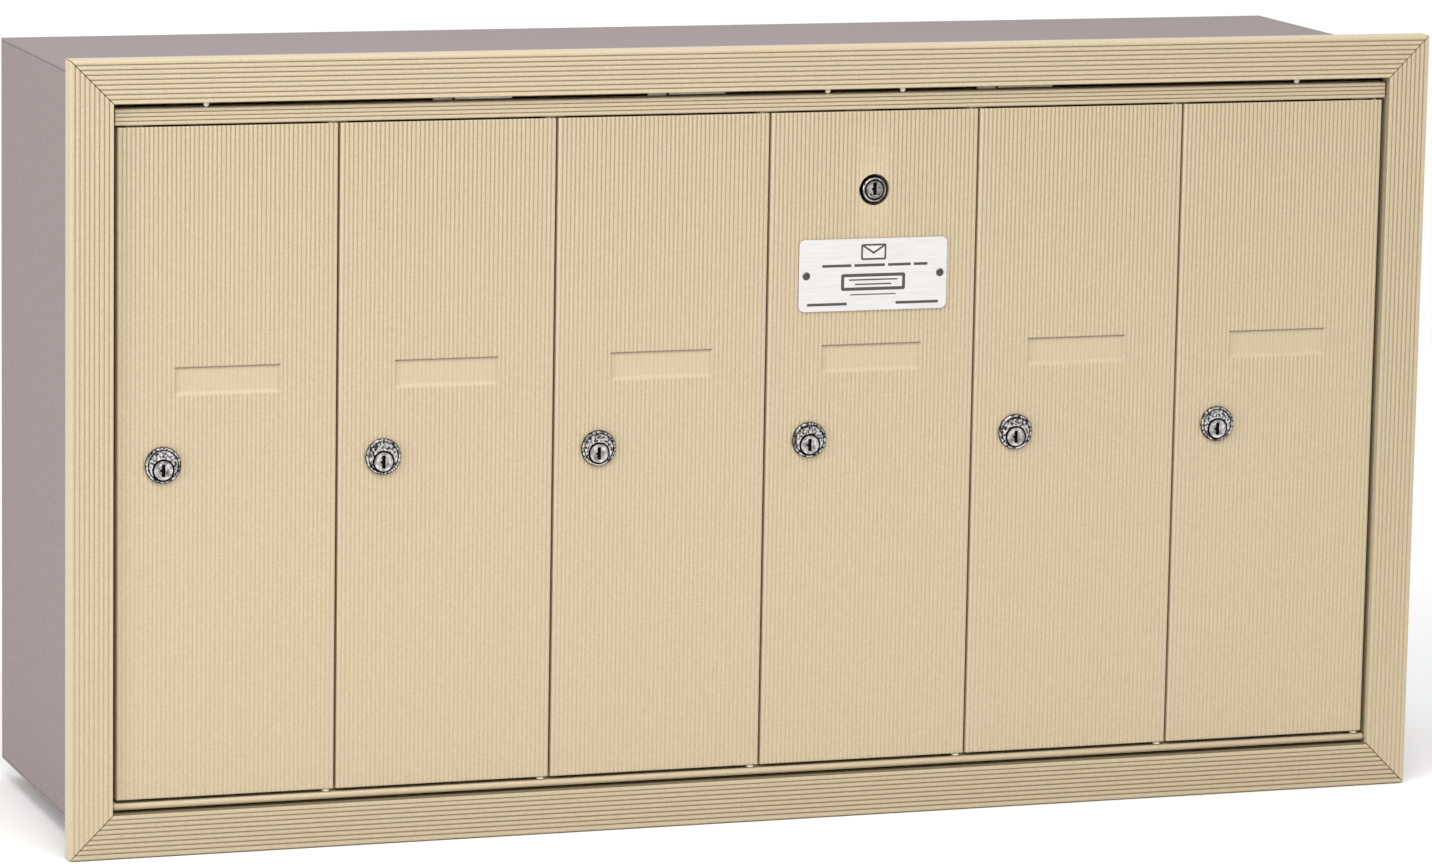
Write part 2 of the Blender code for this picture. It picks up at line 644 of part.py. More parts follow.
def make_doors(front):
    for i in range(1, DOORS + 1):
        left = DOORS_LEFT + (i - 1) * DOOR_PITCH
        pin_x = left + DOOR_WIDTH - DOOR_AXIS_IN
        axis = new_body(f"door_axis_{i}", (pin_x, DOOR_AXIS_Y, DOOR_LOW), front)
        make_door_panel(i, left, axis)
        make_door_pin(i, pin_x, front)
        make_door_lock(i, left, axis)
        if i == MASTER_DOOR:
            make_label_plate(axis)


make_trim()
make_box()
make_partitions()
make_hinge_rod()
make_strike_strip()
FRONT = new_body("front_axis", (0, HINGE_Y, HINGE_Z))
make_front_frame(FRONT)
make_master_lock(FRONT)
make_master_plug(FRONT)
make_latch_bar(FRONT)
make_latch_guides(FRONT)
make_stays(FRONT)
make_doors(FRONT)
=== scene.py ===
"""Recessed six-door cluster mailbox unit: the detailed model on its CAD frame.

Metres. x runs across the wall, y into it and z up; the camera looks along +y.
Places come from the CAD nodes' boxes, and small profiles are written in mm.
"""
import json
from math import asin, cos, pi, radians, sin, tau

import bmesh
import bpy
from mathutils import Matrix, Vector


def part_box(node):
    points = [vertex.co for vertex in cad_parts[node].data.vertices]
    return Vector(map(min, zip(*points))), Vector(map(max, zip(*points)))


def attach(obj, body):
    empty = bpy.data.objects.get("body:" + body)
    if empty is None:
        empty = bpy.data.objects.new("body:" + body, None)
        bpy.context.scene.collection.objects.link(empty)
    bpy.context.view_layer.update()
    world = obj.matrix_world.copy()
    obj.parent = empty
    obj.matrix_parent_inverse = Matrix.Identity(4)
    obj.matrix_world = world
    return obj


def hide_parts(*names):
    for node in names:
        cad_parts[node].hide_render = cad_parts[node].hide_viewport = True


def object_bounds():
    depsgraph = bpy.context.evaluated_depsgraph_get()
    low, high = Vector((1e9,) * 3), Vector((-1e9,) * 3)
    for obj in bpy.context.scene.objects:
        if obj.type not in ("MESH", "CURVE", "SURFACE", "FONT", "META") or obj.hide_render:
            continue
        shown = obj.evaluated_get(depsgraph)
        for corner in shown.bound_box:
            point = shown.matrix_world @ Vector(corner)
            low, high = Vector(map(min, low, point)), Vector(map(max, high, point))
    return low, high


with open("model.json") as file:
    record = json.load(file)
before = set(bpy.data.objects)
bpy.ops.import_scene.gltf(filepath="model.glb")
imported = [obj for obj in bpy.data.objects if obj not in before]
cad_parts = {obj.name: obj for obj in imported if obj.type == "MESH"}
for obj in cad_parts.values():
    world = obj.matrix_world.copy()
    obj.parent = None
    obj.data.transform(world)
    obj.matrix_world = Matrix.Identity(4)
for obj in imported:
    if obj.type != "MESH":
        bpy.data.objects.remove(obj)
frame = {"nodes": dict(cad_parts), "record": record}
cad_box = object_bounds()

MM = 0.001
DOORS = 6
MASTER_DOOR = 4
ROUND = 56                # steps round a lock
SHARP = radians(38)       # edges sharper than this stay crisp
OVERRUN = 1.0             # how far a drill runs past what it cuts, mm
DOOR_DRILL = (-20.0, 10.0)    # where a drill through a door starts and ends in y, mm
LOCK_DRILL = (-30.0, 30.0)

# Reeding of the aluminium extrusions, mm
RIB_DEPTH = 0.6
DOOR_RIB_DEPTH = 0.4
RIB_SHAPE = ((0, 1), (0.12, 0.38), (0.28, 0.1), (0.5, 0), (0.72, 0.1), (0.88, 0.38))
# Painted shade in the grooves of the reeding, carried by the mesh's groove values:
GROOVE_SHADE = 0.72        # how much the paint darkens at the foot of a level groove
# Uprights take less painted groove shade than level ribs, as light from above rakes level ribs more, and
# it fades to none at their feet:
UPRIGHT_SHARE = 0.72      # the share of that at the head of an upright one, fading to its foot
# On chrome the groove values are painted dark reflection in steps and at rims, and a darker tone over the
# plug faces:
CHROME_DARKENING = 0.93       # the same on chrome
DARK_WARMTH = 1.05        # blue darkens this much further
DOOR_RIBS = 49
RAIL_RIBS = 4
TRIM_RIBS = 8

# Sheet steel, mm
SHEET_EDGE = 0.25
SHEET_EDGE_ANGLE = radians(50)
BACK_FLANGE = 14.0
BACK_SLOPE = 3.0
BACK_PRESS = 0.9
BACK_INNER = 0.3          # its inner face, set in from the CAD node's
BACK_CORNERS = (0.5, 0.5, 8.0, 6.0)    # inner edge, outer edge, flange, pressed field
BACK_BEADS = (-250, 0, 250)            # across, from the middle
BEAD_HALF = 5.0
BEAD_SHORT = 45.0         # from the back's ends to a bead's
BEAD_FRONT = 0.1          # its crest, below the flange
BEAD_FOOT = 0.2           # its foot, sunk into the field
BEAD_SOFT = 0.6

# Gap over the front, mm
GAP_LIP = (9.5, 10.3)     # front and back
GAP_LIP_SHORT = 1.0       # clear of the cabinet's sides
GAP_DOMES = (53.7, 445, 493.9, 757.6)  # from the first door's left edge
GAP_DOME_Y = -8.5
GAP_DOME = (1.7, 1.2)     # its radius where it hangs from the trim, and near its tip
GAP_DOME_SINK = 0.2       # into the trim
GAP_DOME_CLEAR = 0.3      # over the rail
GAP_DOME_SHARES = (0.5, 0.9)           # how far down it those radii end

# Trim extrusion, mm
TRIM_EDGE = 1.2           # outer edge's radius
TRIM_REED_IN = 1.0        # how far the reeding starts inside that edge
TRIM_INNER_BAND = 2.7     # plain band along the opening
TRIM_BAND_STEP = ((0.3, 0.1), (0.7, 0))
TRIM_INNER_EDGE = 0.6     # radius at the opening
TRIM_BODY_EDGE = 4.0      # inner corner of the hollow
TRIM_WALL = 2.0
TRIM_FOOT = 16.0
TRIM_LEG_BACK = -1.0
MITRE_GAP = 0.7

# Rail extrusions, mm
RAIL_END = 0.4            # softened ends
RAIL_END_SHARE = 0.96

# Door extrusion, mm
DOOR_SKIN = 2.5
DOOR_LIP = 2.0
DOOR_EDGE = 0.5           # softened ends
DOOR_WORN = 0.7           # the share of that by which they are set back
DOOR_SIDE = ((0, 1.1), (0.32, 0.45), (0.8, 0.12))    # rounding of its sides: (in, back)
DOOR_SIDE_PLAIN = 1.0     # no ribs nearer the sides than this
DOOR_NEAR_ROW = 0.6       # next to a change of form
DOOR_LOCK_ROW = 14.0      # over and under the lock
DOOR_LOW_ROWS = (60, 120)
DOOR_HIGH_ROWS = (100, 50)
BEAD_RADIUS = 2.6
BEAD_IN = 4.4             # from the door's right edge to its pin
BEAD_Y = -6.0
PIN_BORE = 1.5
PIN_STEPS = 24
PIN_RADIUS = 1.2
BUSH_RADIUS = 2.4
BUSH_GAP = 0.3            # under the door
BUSH_EDGE = 0.3
BUSH_SHOULDER = (0.5, 0.4)    # in, and down
PIN_EDGE = 0.4
CARD_WIDTH = 65.0
CARD_HEIGHT = 17.5
CARD_LEFT = 35.0
CARD_DROP = 144.5         # from the door's top
CARD_DEPTH = 1.2
CARD_RIBS = 0.35          # what the press leaves of the ribs in it
CARD_SIDE = 0.9           # slopes of the recess: sides, top and foot
CARD_TOP = 0.25
CARD_RAMP = 2.8
CARD_RAMP_ROWS = 5
# Painted shade along the recess's top step and its sides:
CARD_SHADE = (0.8, 0.15)  # groove values along its top and its sides

# Cam lock, mm: (radius, set back from the face, darkening: painted dark reflection in the steps and at the
# rim, a darker tone over the plug)
LOCK_FACE = ((0, 0, 0), (6.0, 0.06, 0), (8.2, 0.22, 0), (8.9, 0.4, 0.3), (9.1, 0.8, 1), (9.4, 0.8, 1),
             (9.6, 0.35, 0.2), (10.4, 0.3, 0), (10.7, 0.5, 0.7), (11.1, 1.0, 1), (11.1, 2.0, 1),
             (10.2, 2.0, 1))
LOCK_HOLE = 10.5
PLUG_DROP = 3.0
PLUG_BORE = 6.9
PLUG_FACE = ((0, 0.35, 0.5), (3.0, 0.35, 0.5), (3.4, 0.05, 0), (5.3, 0, 0), (5.8, 0.2, 0.3), (6.0, 0.7, 1))
PLUG_FRONT = -11.8
KEYWAY = (2.3, 7.8, 4.0)  # width, height, depth
KEYWAY_SHAPE = ((-0.5, 0.5), (-0.5, 0.12), (-0.95, 0.06), (-0.95, -0.08), (-0.5, -0.14), (-0.5, -0.5),
                (0.5, -0.5), (0.5, 0.5))   # as shares of its width and height
HEX = 6                   # sides of a nut or a screw's head
NUT = (11.9, 14.6, -6.3, -3.4)    # inner and outer radius, front and back
CAM = (9.0, 10.8, 4.5, 22.0)      # front, back, half width, reach to the tip's centre
CAM_SCREW = (3.8, 2.2)            # radius, height
CAM_SCREW_EDGE = 0.8              # the share of both at which its edge starts
STEEL_EDGE = 0.3                  # softened edges of cams and cranks

# Master lock, mm: the profiles as the cam lock's, the shade ring's without darkening; that black ring is
# painted shade of the gap round the lock
MASTER_HOLE = 9.75
MASTER_FACE = -9.6
MASTER_BODY = ((6.3, 0.35, 1), (6.55, 0, 0.3), (7.1, 0, 0), (7.6, 0.4, 0.6), (8.0, 1.2, 1), (8.0, 9.3, 1),
               (6.3, 9.3, 1))
# Black ring on the lock's shoulder: painted shade of the gap between the sleeve and the door's hole
MASTER_SHADE_RING = ((8.0, 0), (9.0, 0), (9.2, 0.2), (9.2, 2.0), (8.0, 2.0))
MASTER_SHADE_RING_FRONT = 2.1         # before the bracket
MASTER_PLUG = ((0, 0, 0.45), (4.6, 0, 0.35), (5.5, 0.25, 0.6), (5.7, 0.6, 1))
MASTER_PLUG_FRONT = -9.9
MASTER_KEYWAY_UP = 0.6
MASTER_PITS = (0.75, 2.6, 2.9, 0.9)    # radius, to either side, down, depth
CRANK = (0.1, 2.1, 3.0, 10.0)     # front, back, half width, reach
CRANK_PIN = (1.5, 0.4, 4.8)       # radius, front, back
CRANK_LEAN = radians(45)

# Label plate, mm
PLATE_CORNER = 3.8
PLATE_EDGE = 0.2
PLATE_RIVET = (2.5, 0.75)         # radius and height
PLATE_RIVET_SHAPE = ((0, 0), (1, 0), (0.92, 0.4), (0.6, 0.85), (0, 1))    # as shares of those
PLATE_RIVET_X = 43.8
PRINT_HEIGHT = 0.03
PRINT_SINK = 0.05
PRINT_OVER = (0.02, 0.04)         # lift of a blank over print, and of print over that
PRINT_CORNER = 0.3
PRINT_RULES = ((-24, 5.8, 19, 1.7), (-2.5, 5.8, 20, 1.7), (17, 5.8, 15, 1.7), (31, 5.8, 9, 1.7),
               (-30, -18.0, 26, 1.7), (29, -18.0, 28, 1.7), (0, -12.4, 30, 0.7))   # x, z, width, height
ENVELOPE = (16.5, 10.0, 14.0)     # width, height, height of its centre above the plate's
ENVELOPE_LINE = (1.2, 1.2, 0.6)   # line width, outer and inner corner
FLAP = (8.2, 0.6, 6.9, 3.9)       # reach and half width of its lines, and their starts: across, up
FLAP_SLOPE = radians(33)
WINDOW = (42.0, 10.5, -4.6)       # the blank card printed under it
WINDOW_LINE = (2.0, 1.4, 0.5)
WINDOW_RULES = ((1.4, 32), (-1.4, 24))     # up, length
WINDOW_RULE_HEIGHT = 0.9

# Stage and light
FLOOR_HALF = 8
FLOOR_Y = 2
FLOOR_DROP = 0.5          # below the CAD, mm
WORLD_LIGHT = 0.95

# Camera
AIM = Vector((-0.029, 0, 0.238))
CAMERA_AZIMUTH = radians(-18.9)
CAMERA_ELEVATION = radians(9.5)
CAMERA_ROLL = radians(1.0)
CAMERA_DISTANCE = 3.944
CAMERA_REACH = 50
SENSOR = 36               # mm
LENS = 161.1              # mm

# name, place, size, power, what it faces
LIGHTS = (("key", (-0.35, -1.0, 1.65), (1.4, 0.6), 22, AIM),
          ("side", (-3.0, -0.9, 0.9), (0.6, 1.4), 32, AIM),
          ("rear", (0, 6, 3.2), (9, 6), 60, (0, 6, 0)))


# ------------------------------------------------------------- materials

def principled(name, colour, metallic=0.0, roughness=0.4, specular=0.5):
    mat = bpy.data.materials.new(name)
    mat.use_nodes = True
    shader = mat.node_tree.nodes["Principled BSDF"]
    shader.inputs["Base Color"].default_value = (*colour, 1)
    shader.inputs["Metallic"].default_value = metallic
    shader.inputs["Roughness"].default_value = roughness
    shader.inputs["Specular IOR Level"].default_value = specular
    return mat


def noise(mat, scale, detail=3.0, stretch=(1, 1, 1)):
    """Noise in the model's own metres, stretched along an axis for brushed metal."""
    nodes, links = mat.node_tree.nodes, mat.node_tree.links
    coords = nodes.new("ShaderNodeTexCoord")
    mapping = nodes.new("ShaderNodeMapping")
    mapping.inputs["Scale"].default_value = stretch
    texture = nodes.new("ShaderNodeTexNoise")
    texture.inputs["Scale"].default_value = scale
    texture.inputs["Detail"].default_value = detail
    links.new(coords.outputs["Object"], mapping.inputs["Vector"])
    links.new(mapping.outputs["Vector"], texture.inputs["Vector"])
    return texture.outputs["Fac"]


def tint(mat, socket, value, low, high, start=0.35, end=0.65):
    """Drives a socket of the shader from low to high, colours or numbers, by a noise value."""
    nodes, links = mat.node_tree.nodes, mat.node_tree.links
    ramp = nodes.new("ShaderNodeValToRGB")
    for stop, place, level in zip(ramp.color_ramp.elements, (start, end), (low, high)):
        stop.position = place
        stop.color = (*level, 1) if isinstance(level, tuple) else (level, level, level, 1)
    links.new(value, ramp.inputs["Fac"])
    links.new(ramp.outputs["Color"], nodes["Principled BSDF"].inputs[socket])


def bump(mat, value, distance, strength=1.0):
    nodes, links = mat.node_tree.nodes, mat.node_tree.links
    node = nodes.new("ShaderNodeBump")
    node.inputs["Distance"].default_value = distance
    node.inputs["Strength"].default_value = strength
    links.new(value, node.inputs["Height"])
    links.new(node.outputs["Normal"], nodes["Principled BSDF"].inputs["Normal"])


def shade_grooves(mat, dark=GROOVE_SHADE):
    """Painted shade: darkens the colour by the mesh's own groove values, in grooves and at steps where
    shade falls.
    """
    nodes, links = mat.node_tree.nodes, mat.node_tree.links
    colour = nodes["Principled BSDF"].inputs["Base Color"]
    source = colour.links[0].from_socket
    groove = nodes.new("ShaderNodeAttribute")
    groove.attribute_name = "groove"
    mix = nodes.new("ShaderNodeMix")
    mix.data_type = "RGBA"
    mix.blend_type = "MULTIPLY"
    mix.inputs["B"].default_value = (1 - dark, 1 - dark, 1 - DARK_WARMTH * dark, 1)
    links.new(groove.outputs["Fac"], mix.inputs["Factor"])
    links.new(source, mix.inputs["A"])
    links.new(mix.outputs["Result"], colour)


def face_paint():
    """Sandstone powder coat: fine mottle, a slight orange peel and a satin shine."""
    mat = principled("sandstone_powder_coat", (0.46, 0.375, 0.245))
    tint(mat, "Base Color", noise(mat, 1300), (0.416, 0.334, 0.212), (0.506, 0.416, 0.277), 0.3, 0.7)
    # painted shade in the grooves
    shade_grooves(mat)
    tint(mat, "Roughness", noise(mat, 500), 0.34, 0.50)
    bump(mat, noise(mat, 900, 2.0), 0.06 * MM)
    return mat


def box_paint():
    """Grey-mauve primer on the sheet steel, matt with fine flecks."""
    mat = principled("grey_primer", (0.27, 0.235, 0.23), roughness=0.6, specular=0.35)
    tint(mat, "Base Color", noise(mat, 1100, 4.0), (0.172, 0.137, 0.135), (0.252, 0.207, 0.202), 0.3, 0.7)
    tint(mat, "Roughness", noise(mat, 800), 0.54, 0.66)
    bump(mat, noise(mat, 1300, 2.0), 0.05 * MM)
    return mat


def zinc():
    """Zinc-plated steel, passivated to a faint yellow."""
    mat = principled("zinc_plate", (0.56, 0.54, 0.50), 1.0, 0.36)
    tint(mat, "Base Color", noise(mat, 90, 5.0), (0.52, 0.475, 0.38), (0.68, 0.63, 0.51))
    tint(mat, "Roughness", noise(mat, 260, 4.0, (0.15, 1, 1)), 0.28, 0.48)
    return mat


def cast_chrome():
    """The plated lock faces: cast texture that breaks the reflections up, and a colour mottled down to
    near black, painted dark reflection.
    """
    mat = principled("cast_chrome", (0.40, 0.39, 0.38), 1.0, 0.22)
    # painted dark reflection: the colour runs down to near black
    tint(mat, "Base Color", noise(mat, 700, 4.0), (0.035, 0.03, 0.03), (0.70, 0.69, 0.68), 0.42, 0.6)
    # painted dark reflection in the steps and at the rim
    shade_grooves(mat, CHROME_DARKENING)
    tint(mat, "Roughness", noise(mat, 400), 0.14, 0.34)
    bump(mat, noise(mat, 520, 3.0), 0.45 * MM)
    return mat


def smooth_chrome():
    mat = principled("chrome", (0.45, 0.44, 0.43), 1.0, 0.16)
    tint(mat, "Base Color", noise(mat, 350, 3.0), (0.26, 0.25, 0.25), (0.62, 0.61, 0.60), 0.4, 0.6)
    # painted dark reflection at the steps and edges, a darker tone over the plug faces
    shade_grooves(mat, CHROME_DARKENING)
    tint(mat, "Roughness", noise(mat, 900, 3.0), 0.10, 0.24)
    bump(mat, noise(mat, 300, 2.0), 0.03 * MM)
    return mat


# Matt black for the walls of key slots, lock bores and pits, and the ring round the master lock: painted
# shade.
def black():
    mat = principled("black", (0.012, 0.011, 0.010), 0.0, 0.5, 0.3)
    tint(mat, "Roughness", noise(mat, 600), 0.4, 0.65)
    return mat


def nylon():
    mat = principled("nylon", (0.58, 0.52, 0.41), 0.0, 0.42)
    tint(mat, "Base Color", noise(mat, 200), (0.54, 0.48, 0.37), (0.62, 0.56, 0.45))
    return mat


def satin_plate():
    """The label: off-white satin metal with a faint grain along its length."""
    mat = principled("satin_white_plate", (0.55, 0.54, 0.53), 0.0, 0.36)
    grain = noise(mat, 900, 4.0, (0.06, 1, 1))
    tint(mat, "Base Color", grain, (0.525, 0.515, 0.51), (0.585, 0.575, 0.57))
    bump(mat, grain, 0.01 * MM)
    return mat


def ink():
    mat = principled("printing_ink", (0.045, 0.04, 0.04), 0.0, 0.45)
    tint(mat, "Base Color", noise(mat, 1500), (0.03, 0.027, 0.027), (0.07, 0.063, 0.063))
    return mat


def dark_zinc():
    mat = principled("dark_rivet", (0.09, 0.085, 0.08), 1.0, 0.25)
    tint(mat, "Roughness", noise(mat, 500), 0.2, 0.45)
    return mat


def floor_paint():
    return principled("pale_floor", (0.90, 0.90, 0.90), 0.0, 0.85, 0.1)


PAINT = face_paint()
PRIMER = box_paint()
ZINC = zinc()
DARK_ZINC = dark_zinc()
CAST_CHROME = cast_chrome()
CHROME = smooth_chrome()
BLACK = black()
NYLON = nylon()
PLATE = satin_plate()
INK = ink()


# ---------------------------------------------------------- mesh helpers

def new_object(name, bm, material):
    bmesh.ops.recalc_face_normals(bm, faces=bm.faces)
    mesh = bpy.data.meshes.new(name)
    bm.to_mesh(mesh)
    bm.free()
    mesh.materials.append(material)
    mesh.shade_smooth()
    mesh.set_sharp_from_angle(angle=SHARP)
    obj = bpy.data.objects.new(name, mesh)
    bpy.context.scene.collection.objects.link(obj)
    return obj


def dress(obj, body, *nodes):
    """The piece rides a body, and stands for the CAD nodes named."""
    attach(obj, body)
    if nodes:
        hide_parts(*nodes)
    return obj


def loft(name, rings, material, grooves=()):
    """A closed solid through rings of as many points each, with flat ends; grooves match rings."""
    bm = bmesh.new()
    shade = bm.verts.layers.float.new("groove")
    made = [[bm.verts.new(point) for point in ring] for ring in rings]
    for ring, values in zip(made, grooves):
        for vert, value in zip(ring, values):
            vert[shade] = value
    for near, far in zip(made, made[1:]):
        for k in range(len(near)):
            n = (k + 1) % len(near)
            bm.faces.new((near[k], near[n], far[n], far[k]))
    bm.faces.new(made[0])
    bm.faces.new(made[-1])
    return new_object(name, bm, material)


def turned(name, profile, centre, axis, material, steps=ROUND, closed=False):
    """A solid of revolution through (radius, place along the axis, perhaps shade), in metres."""
    along = {"X": Vector((1, 0, 0)), "Y": Vector((0, 1, 0)), "Z": Vector((0, 0, 1))}[axis]
    right = Vector((0, 0, 1)) if axis == "Y" else Vector((0, 1, 0))
    up = along.cross(right)
    bm = bmesh.new()
    layer = bm.verts.layers.float.new("groove")
    rings = []
    for radius, place, *shade in profile:
        middle = Vector(centre) + along * place
        turns = [k * tau / steps for k in range(steps)] if radius > 0 else [0]
        rings.append([bm.verts.new(middle + radius * (right * cos(t) + up * sin(t))) for t in turns])
        for vert in rings[-1]:
            vert[layer] = shade[0] if shade else 0
    pairs = list(zip(rings, rings[1:] + ([rings[0]] if closed else [])))
    for near, far in pairs:
        for k in range(steps):
            n = (k + 1) % steps
            corners = [near[k % len(near)], near[n % len(near)], far[n % len(far)], far[k % len(far)]]
            bm.faces.new(list(dict.fromkeys(corners)))
    return new_object(name, bm, material)


def front_profile(shape, front, back):
    """Face points in mm set back from the front, then straight back to the axis."""
    points = [(radius * MM, (front + behind) * MM, shade) for radius, behind, shade in shape]
    return points + [(points[-1][0], back * MM, 0), (0, back * MM, 0)]


def cut(obj, tool):
    """Takes the tool out of the object; the cut faces keep the tool's material."""
    change = obj.modifiers.new("cut", "BOOLEAN")
    change.object = tool
    change.solver = "EXACT"
    change.material_mode = "TRANSFER"
    depsgraph = bpy.context.evaluated_depsgraph_get()
    mesh = bpy.data.meshes.new_from_object(obj.evaluated_get(depsgraph))
    obj.modifiers.clear()
    old, obj.data = obj.data, mesh
    bpy.data.meshes.remove(old)
    bpy.data.objects.remove(tool)
    mesh.set_sharp_from_angle(angle=SHARP)


def drill(obj, radius, at, axis, start, end, material=PAINT, steps=ROUND):
    """Takes a round hole out of the object, from start to end along the axis, in metres."""
    profile = [(0, start), (radius, start), (radius, end), (0, end)]
    cut(obj, turned("drill", profile, at, axis, material, steps))


def arc(radius, start, end, steps, centre=(0, 0)):
    turns = [start + (end - start) * k / steps for k in range(steps + 1)]
    return [(centre[0] + radius * cos(t), centre[1] + radius * sin(t)) for t in turns]


def rounded(width, height, radius, steps=6):
    """Outline of a rounded rectangle about its middle."""
    x, z = width / 2 - radius, height / 2 - radius
    corners = ((x, z, 0), (-x, z, pi / 2), (-x, -z, pi), (x, -z, 3 * pi / 2))
    return [p for cx, cz, t in corners for p in arc(radius, t, t + pi / 2, steps, (cx, cz))]


def slot_outline(reach, radius, steps=12):
    """A bar with round ends: from the middle out to reach, along the first axis."""
    return arc(radius, -pi / 2, pi / 2, steps, (reach, 0)) + arc(radius, pi / 2, 3 * pi / 2, steps)


def slab(name, outline, centre, front, back, material, edge=0.0, turn=0.0):
    """An outline in the x-z plane given thickness in y, its front edge softened.

    The edge is negative where the front faces +y.
    """
    spin = Matrix.Rotation(turn, 2)
    flat = [spin @ Vector(point) for point in outline]
    reach = max(abs(c) for p in flat for c in p)
    rings = []
    for y, inset in ((back, 0), (front + edge, 0), (front, edge))[:3 if edge else 2]:
        shrink = 1 - abs(inset) / reach
        rings.append([(centre[0] + p.x * shrink, y, centre[1] + p.y * shrink) for p in flat])
    return loft(name, rings, material)


def ribs(start, end, count, depth=RIB_DEPTH):
    """(place, depth below the crest) across a row of rounded ribs, groove to groove, in mm."""
    pitch = (end - start) / count
    row = [(start + (i + t) * pitch, d * depth) for i in range(count) for t, d in RIB_SHAPE]
    return row + [(end, depth)]


def groove_share(depth):
    """How deep in a groove a point of a reeded face lies, from 0 at the crest to 1."""
    share = depth / (RIB_DEPTH * MM)
    return share if 0 <= share < 1.01 else 0


def upright(values, share):
    """Painted light: groove shade of an upright at a share of its height, strongest at its head as under
    light from above, plainer towards its foot.
    """
    return [value * UPRIGHT_SHARE * share ** 2 for value in values]


def middle_of(node):
    low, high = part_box(node)
    return (low + high) / 2


# ------------------------------------------------------------------ trim

def trim_section(face, front):
    """Channel extrusion: (inset from the outer edge, y), reeded up to a plain inner band, mm."""
    inside = face - TRIM_WALL
    band = face - TRIM_INNER_BAND
    section = [(0, 0)] + arc(TRIM_EDGE, pi, 3 * pi / 2, 6, (TRIM_EDGE, front + TRIM_EDGE))[:-1]
    reeding = ribs(TRIM_EDGE - TRIM_REED_IN, band, TRIM_RIBS)[3:]
    section += [(place, front + depth) for place, depth in reeding]
    section += [(band + place, front + depth) for place, depth in TRIM_BAND_STEP]
    section += arc(TRIM_INNER_EDGE, -pi / 2, 0, 4, (face - TRIM_INNER_EDGE, front + TRIM_INNER_EDGE))
    section += [(face, TRIM_LEG_BACK), (inside, TRIM_LEG_BACK), (inside, front + TRIM_WALL),
                (TRIM_BODY_EDGE, front + TRIM_WALL), (TRIM_WALL, front + TRIM_BODY_EDGE),
                (TRIM_WALL, -TRIM_WALL), (TRIM_FOOT, -TRIM_WALL), (TRIM_FOOT, 0)]
    return [(inset * MM, y * MM) for inset, y in section]


def make_trim():
    low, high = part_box("trim_left")[0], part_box("trim_right")[1]
    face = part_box("trim_left")[1].x - low.x
    section = trim_section(face / MM, low.y / MM)
    # painted shade along the trim's grooves, as groove values
    shade = [groove_share(y - low.y) if inset > TRIM_EDGE * MM else 0 for inset, y in section]
    gap = MITRE_GAP * MM / 2
    for side in ("top", "bottom", "left", "right"):
        rings = [[], []]
        for inset, y in section:
            start, end = inset + gap, -inset - gap
            if side in ("top", "bottom"):
                z = high.z - inset if side == "top" else low.z + inset
                rings[0].append((low.x + start, y, z))
                rings[1].append((high.x + end, y, z))
            else:
                x = low.x + inset if side == "left" else high.x - inset
                rings[0].append((x, y, low.z + start))
                rings[1].append((x, y, high.z + end))
        node = f"trim_{side}"
        level = side in ("top", "bottom")
        # level trims take the full painted groove shade, uprights the lesser one fading to their feet
        values = [shade, shade] if level else [upright(shade, 0), upright(shade, 1)]
        dress(loft(f"{node}_reeded", rings, PAINT, values), "cabinet", node)


# --------------------------------------------------------------- cabinet

def make_back():
    """Back pressed like a pan, with a flat flange round it and three stiffening beads."""
    low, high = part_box("cabinet_back")
    centre, size = (low + high) / 2, high - low
    flange, slope, press = BACK_FLANGE * MM, BACK_SLOPE * MM, BACK_PRESS * MM
    inner = low.y + BACK_INNER * MM
    places = ((inner, 0), (high.y, 0), (high.y, flange), (high.y - press, flange + slope))
    rings = []
    for (y, inset), radius in zip(places, BACK_CORNERS):
        outline = rounded(size.x - 2 * inset, size.z - 2 * inset, radius * MM)
        rings.append([(centre.x + x, y, centre.z + z) for x, z in outline])
    dress(loft("back_pan", rings, PRIMER), "cabinet", "cabinet_back")
    crest, foot = high.y - BEAD_FRONT * MM, high.y - press - BEAD_FOOT * MM
    for i, x in enumerate(BACK_BEADS):
        outline = slot_outline(size.z - 2 * BEAD_SHORT * MM, BEAD_HALF * MM)
        at = (centre.x + x * MM, centre.z - size.z / 2 + BEAD_SHORT * MM)
        bead = slab(f"back_bead_{i + 1}", outline, at, crest, foot, PRIMER, -BEAD_SOFT * MM, pi / 2)
        dress(bead, "cabinet")


def make_gap():
    """What shows in the gap over the front: a painted lip behind it, and small domes."""
    low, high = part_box("trim_top")[0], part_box("cabinet_top")[0]
    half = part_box("cabinet_right")[0].x - GAP_LIP_SHORT * MM
    rail_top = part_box("front_top_rail")[1].z
    front, back = (y * MM for y in GAP_LIP)
    section = ((front, rail_top), (back, rail_top), (back, high.z), (front, high.z))
    rings = [[(x, y, z) for y, z in section] for x in (-half, half)]
    dress(loft("gap_lip", rings, PAINT), "cabinet")
    doors_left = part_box("door_1")[0].x
    tip = rail_top + GAP_DOME_CLEAR * MM - low.z
    wide, narrow = (radius * MM for radius in GAP_DOME)
    shoulder, taper = (share * tip for share in GAP_DOME_SHARES)
    sunk = GAP_DOME_SINK * MM
    dome = [(0, sunk), (wide, sunk), (wide, shoulder), (narrow, taper), (0, tip)]
    for i, across in enumerate(GAP_DOMES):
        at = (doors_left + across * MM, GAP_DOME_Y * MM, low.z)
        dress(turned(f"gap_dome_{i + 1}", dome, at, "Z", NYLON, 20), "cabinet")


